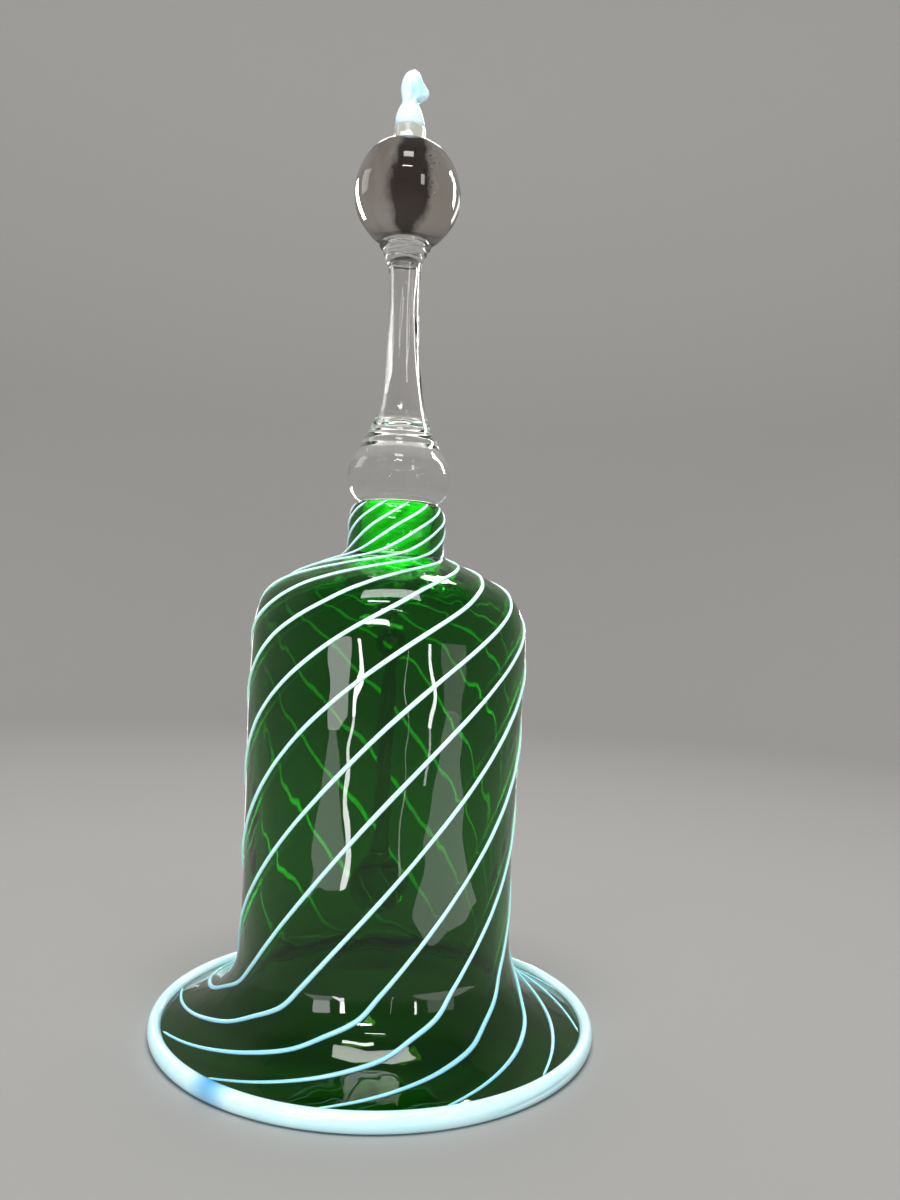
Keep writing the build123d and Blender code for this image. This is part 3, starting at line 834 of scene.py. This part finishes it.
glass_pieces = [
    place(bowl(), green, "bell", "green_glass", *BOWL_NODES),
    place(handle_glass(), clear, "bell", "clear_glass", "lower_knop", "stem_foot_ring", "stem",
          "collar_ring_lower", "collar_ring_middle", "collar_ring_upper"),
    place(ball_glass(), ball_tint_and_painted_shade, "bell", "tinted_glass", "ball_knop"),
    place(collar_glass(), milky, "bell", "clear_glass", "finial_collar"),
]
handle_pieces = glass_pieces[1:]
finial_collar = glass_pieces[3]
opal_pieces = [
    place(thread(i), thread_opal, "bell", "opal_glass", f"white_thread_{i + 1:02d}") for i in range(THREADS)
]
opal_pieces.append(place(rim_roll(), roll_opal, "bell", "opal_glass", "rim_band"))
opal_pieces.append(place(tip_opal(), tip_mat, "bell", "opal_glass", "finial_tip"))
wire = wire_material()
inner_pieces = [
    place(plaster_core(), plaster_material(), "bell", "plaster", "plaster_plug"),
    place(staple_wire(), wire, "bell", "wire", "clapper_staple"),
    place(link_wire(), wire, "link", "wire", "clapper_link"),
    place(clapper_drop(), clapper_green, "clapper", "clapper_glass", "clapper_rod", "clapper_bob"),
]


bell_pieces = glass_pieces[:1] + opal_pieces + inner_pieces


# ---------------------------------------------------------------- floor, light, camera
def sweep_floor():
    """A round pale floor that curves up into a wall all the way round."""
    flat, radius, top = 0.85, 0.45, 1.9
    line = [(0.02, 0.0), (0.2, 0.0), (flat, 0.0)]
    line += [(flat + radius * math.sin(a), radius - radius * math.cos(a)) for a in np.linspace(0.05, math.pi / 2, 24)]
    line += [(flat + radius, top)]
    turns = np.linspace(0, 2 * np.pi, 96, endpoint=False)
    rows = np.array([[(r * math.cos(t), r * math.sin(t), z) for t in turns] for r, z in line]) / MM
    shape = Shape()
    shape.rings(rows, start=True)
    ob = mesh_object("floor", np.vstack(shape.verts), shape.faces)
    m, t, out = material("floor")
    p = node(t, "ShaderNodeBsdfPrincipled", Roughness=0.75)
    p.inputs["Base Color"].default_value = (0.50, 0.49, 0.475, 1)
    t.links.new(p.outputs[0], out.inputs["Surface"])
    paint(ob, m)
    return ob


def lamp(name, at, target, size, power, only=None):
    d = bpy.data.lights.new(name, "AREA")
    d.shape = "RECTANGLE"
    d.size, d.size_y = size
    d.energy = power
    o = bpy.data.objects.new(name, d)
    bpy.context.scene.collection.objects.link(o)
    o.location = at
    o.rotation_euler = (Vector(target) - Vector(at)).to_track_quat("-Z", "Y").to_euler()
    o.visible_camera = False
    if only:
        link_to(o, only)
    return o


def link_to(lamp_object, pieces):
    """Only these pieces are lit by the lamp."""
    lit = bpy.data.collections.new(lamp_object.name)
    for piece in pieces:
        lit.objects.link(piece)
    lamp_object.light_linking.receiver_collection = lit


def hide(lamp_object):
    """The lamp gives light, but is never seen: not directly, not mirrored and not through glass."""
    for kind in ("camera", "glossy", "transmission"):
        setattr(lamp_object, "visible_" + kind, False)


def around(azimuth, distance, z):
    """A place round the bell: azimuth 0 is the camera's side, positive to the right."""
    a = math.radians(azimuth)
    return (distance * math.sin(a), -distance * math.cos(a), z)


def streak(name, azimuth, width, glow, low_glow, near_end=0.2, top=0.17, distance=0.75):
    """A tall narrow light and its continuation along the floor: one unbroken vertical glint on the bell."""
    up = lamp(name, around(azimuth, distance, top / 2), (0, 0, top / 2), (width, top),
              glow * width * top * math.pi, bell_pieces)
    run = distance - near_end
    at = around(azimuth, (near_end + distance) / 2, 0.003)
    low = lamp(name + "_floor", at, (at[0], at[1], 1), (width * 0.6, run),
               low_glow * width * 0.6 * run * math.pi, bell_pieces)
    low.rotation_euler = (math.pi, 0, math.radians(azimuth))
    for o in (up, low):
        o.visible_transmission = False


def inner_glow(name, at, power):
    """A small hidden lamp inside the bell, so that the threads on its far side show through the glass."""
    d = bpy.data.lights.new(name, "POINT")
    d.energy = power
    d.shadow_soft_size = 0.006
    o = bpy.data.objects.new(name, d)
    bpy.context.scene.collection.objects.link(o)
    o.location = at
    hide(o)
    link_to(o, opal_pieces[:THREADS])


def studio(floor):
    world = bpy.data.worlds.new("world")
    world.use_nodes = True
    world.node_tree.nodes["Background"].inputs[0].default_value = (0.9, 0.95, 1.0, 1)
    world.node_tree.nodes["Background"].inputs[1].default_value = 0.15
    bpy.context.scene.world = world
    lit_by_top = [floor] + bell_pieces
    matt_pieces = opal_pieces + inner_pieces + [finial_collar]
    lamp("top_back", (0.0, -0.30, 1.40), (0, 0.85, 0.45), (0.9, 0.6), 14, lit_by_top)
    lamp("top_front", (0.0, 0.30, 1.40), (0, -0.95, 0.35), (0.9, 0.6), 5, [floor])
    streak("left_streak", -25, 0.035, 28, 17, near_end=0.20)
    streak("left_veil", -38, 0.17, 5.4, 2.0)
    streak("right_streak", 32, 0.034, 22, 7, near_end=0.40)
    streak("thin_streak", 14, 0.012, 5, 3.5, near_end=0.22)
    streak("right_veil", 52, 0.26, 1.2, 1.8, near_end=0.16)
    streak("back_streak", 164, 0.030, 14, 10, near_end=0.22)
    streak("back_veil", 198, 0.14, 1.4, 1.4)
    lamp("front_top", around(-16, 0.55, 0.85), (0, 0, 0.15), (0.30, 0.07), 1.4, bell_pieces)
    lamp("front_glare", around(-12, 0.75, 0.39), (0, 0, 0.13), (0.26, 0.06), 1.3, bell_pieces)
    lamp("front_line", around(0, 0.75, 0.68), (0, 0, 0.13), (0.26, 0.02), 0.4, bell_pieces)
    lamp("stem_window", around(30, 0.75, 0.46), (0, 0, 0.22), (0.10, 0.20), 0.5, handle_pieces)
    lamp("back_top", around(165, 0.55, 0.85), (0, 0, 0.15), (0.30, 0.07), 1.2, bell_pieces)
    lamp("front_window", around(-2, 0.70, 0.78), (0, 0, 0.20), (0.26, 0.035), 1.0, handle_pieces)
    lamp("high_window", around(-1, 0.55, 1.25), (0, 0, 0.20), (0.30, 0.20), 2.0, handle_pieces)
    back_window = lamp("back_window", around(180, 0.70, 0.78), (0, 0, 0.20), (0.26, 0.035), 1.0, handle_pieces)
    back_window.visible_transmission = False
    lamp("soft_fill", around(-12, 0.75, 0.70), (0, 0, 0.16), (0.5, 0.4), 3.2, matt_pieces)
    lamp("back_fill", around(170, 0.75, 0.70), (0, 0, 0.16), (0.5, 0.4), 2.8, matt_pieces)
    lamp("plaster_fill", around(0, 0.40, 0.45), (0, 0, 0.16), (0.2, 0.2), 11.0, inner_pieces[:1])
    lamp("rear_left", around(-135, 0.60, 0.30), (0, 0, 0.10), (0.3, 0.3), 0.9, opal_pieces[:-1])
    lamp("rear_right", around(135, 0.60, 0.30), (0, 0, 0.10), (0.3, 0.3), 0.9, opal_pieces[:-1])
    inner_glow("glow_low", (-0.015, 0.004, 0.050), 0.15)
    inner_glow("glow_high", (0.015, -0.004, 0.105), 0.15)
    lamp("handle_right", around(118, 0.50, 0.46), (0, 0, 0.26), (0.10, 0.34), 2.4, handle_pieces)
    lamp("handle_left", around(-102, 0.60, 0.50), (0, 0, 0.26), (0.24, 0.30), 0.6, handle_pieces)


def camera():
    pitch, yaw, roll = (math.radians(v) for v in (1.010, 3.455, 2.451))
    look = Vector((math.sin(yaw) * math.cos(pitch), math.cos(yaw) * math.cos(pitch), math.sin(pitch)))
    right = Vector((math.cos(yaw), -math.sin(yaw), 0))
    up = right.cross(look)
    right, up = (
        math.cos(roll) * right + math.sin(roll) * up,
        -math.sin(roll) * right + math.cos(roll) * up,
    )
    data = bpy.data.cameras.new("camera")
    data.lens = 29.01
    data.sensor_width = 36
    data.clip_start = 0.01
    ob = bpy.data.objects.new("camera", data)
    bpy.context.scene.collection.objects.link(ob)
    turn = Matrix((right, up, -look)).transposed().to_4x4()
    ob.matrix_world = Matrix.Translation((0, -0.3155, 0.1315)) @ turn
    bpy.context.scene.camera = ob


studio(sweep_floor())
camera()
scene = bpy.context.scene
scene.view_settings.view_transform = "Standard"
scene.cycles.max_bounces = 24
scene.cycles.transmission_bounces = 24
scene.cycles.glossy_bounces = 8
scene.cycles.diffuse_bounces = 4
scene.cycles.transparent_max_bounces = 24
scene.cycles.caustics_reflective = False
scene.cycles.caustics_refractive = False
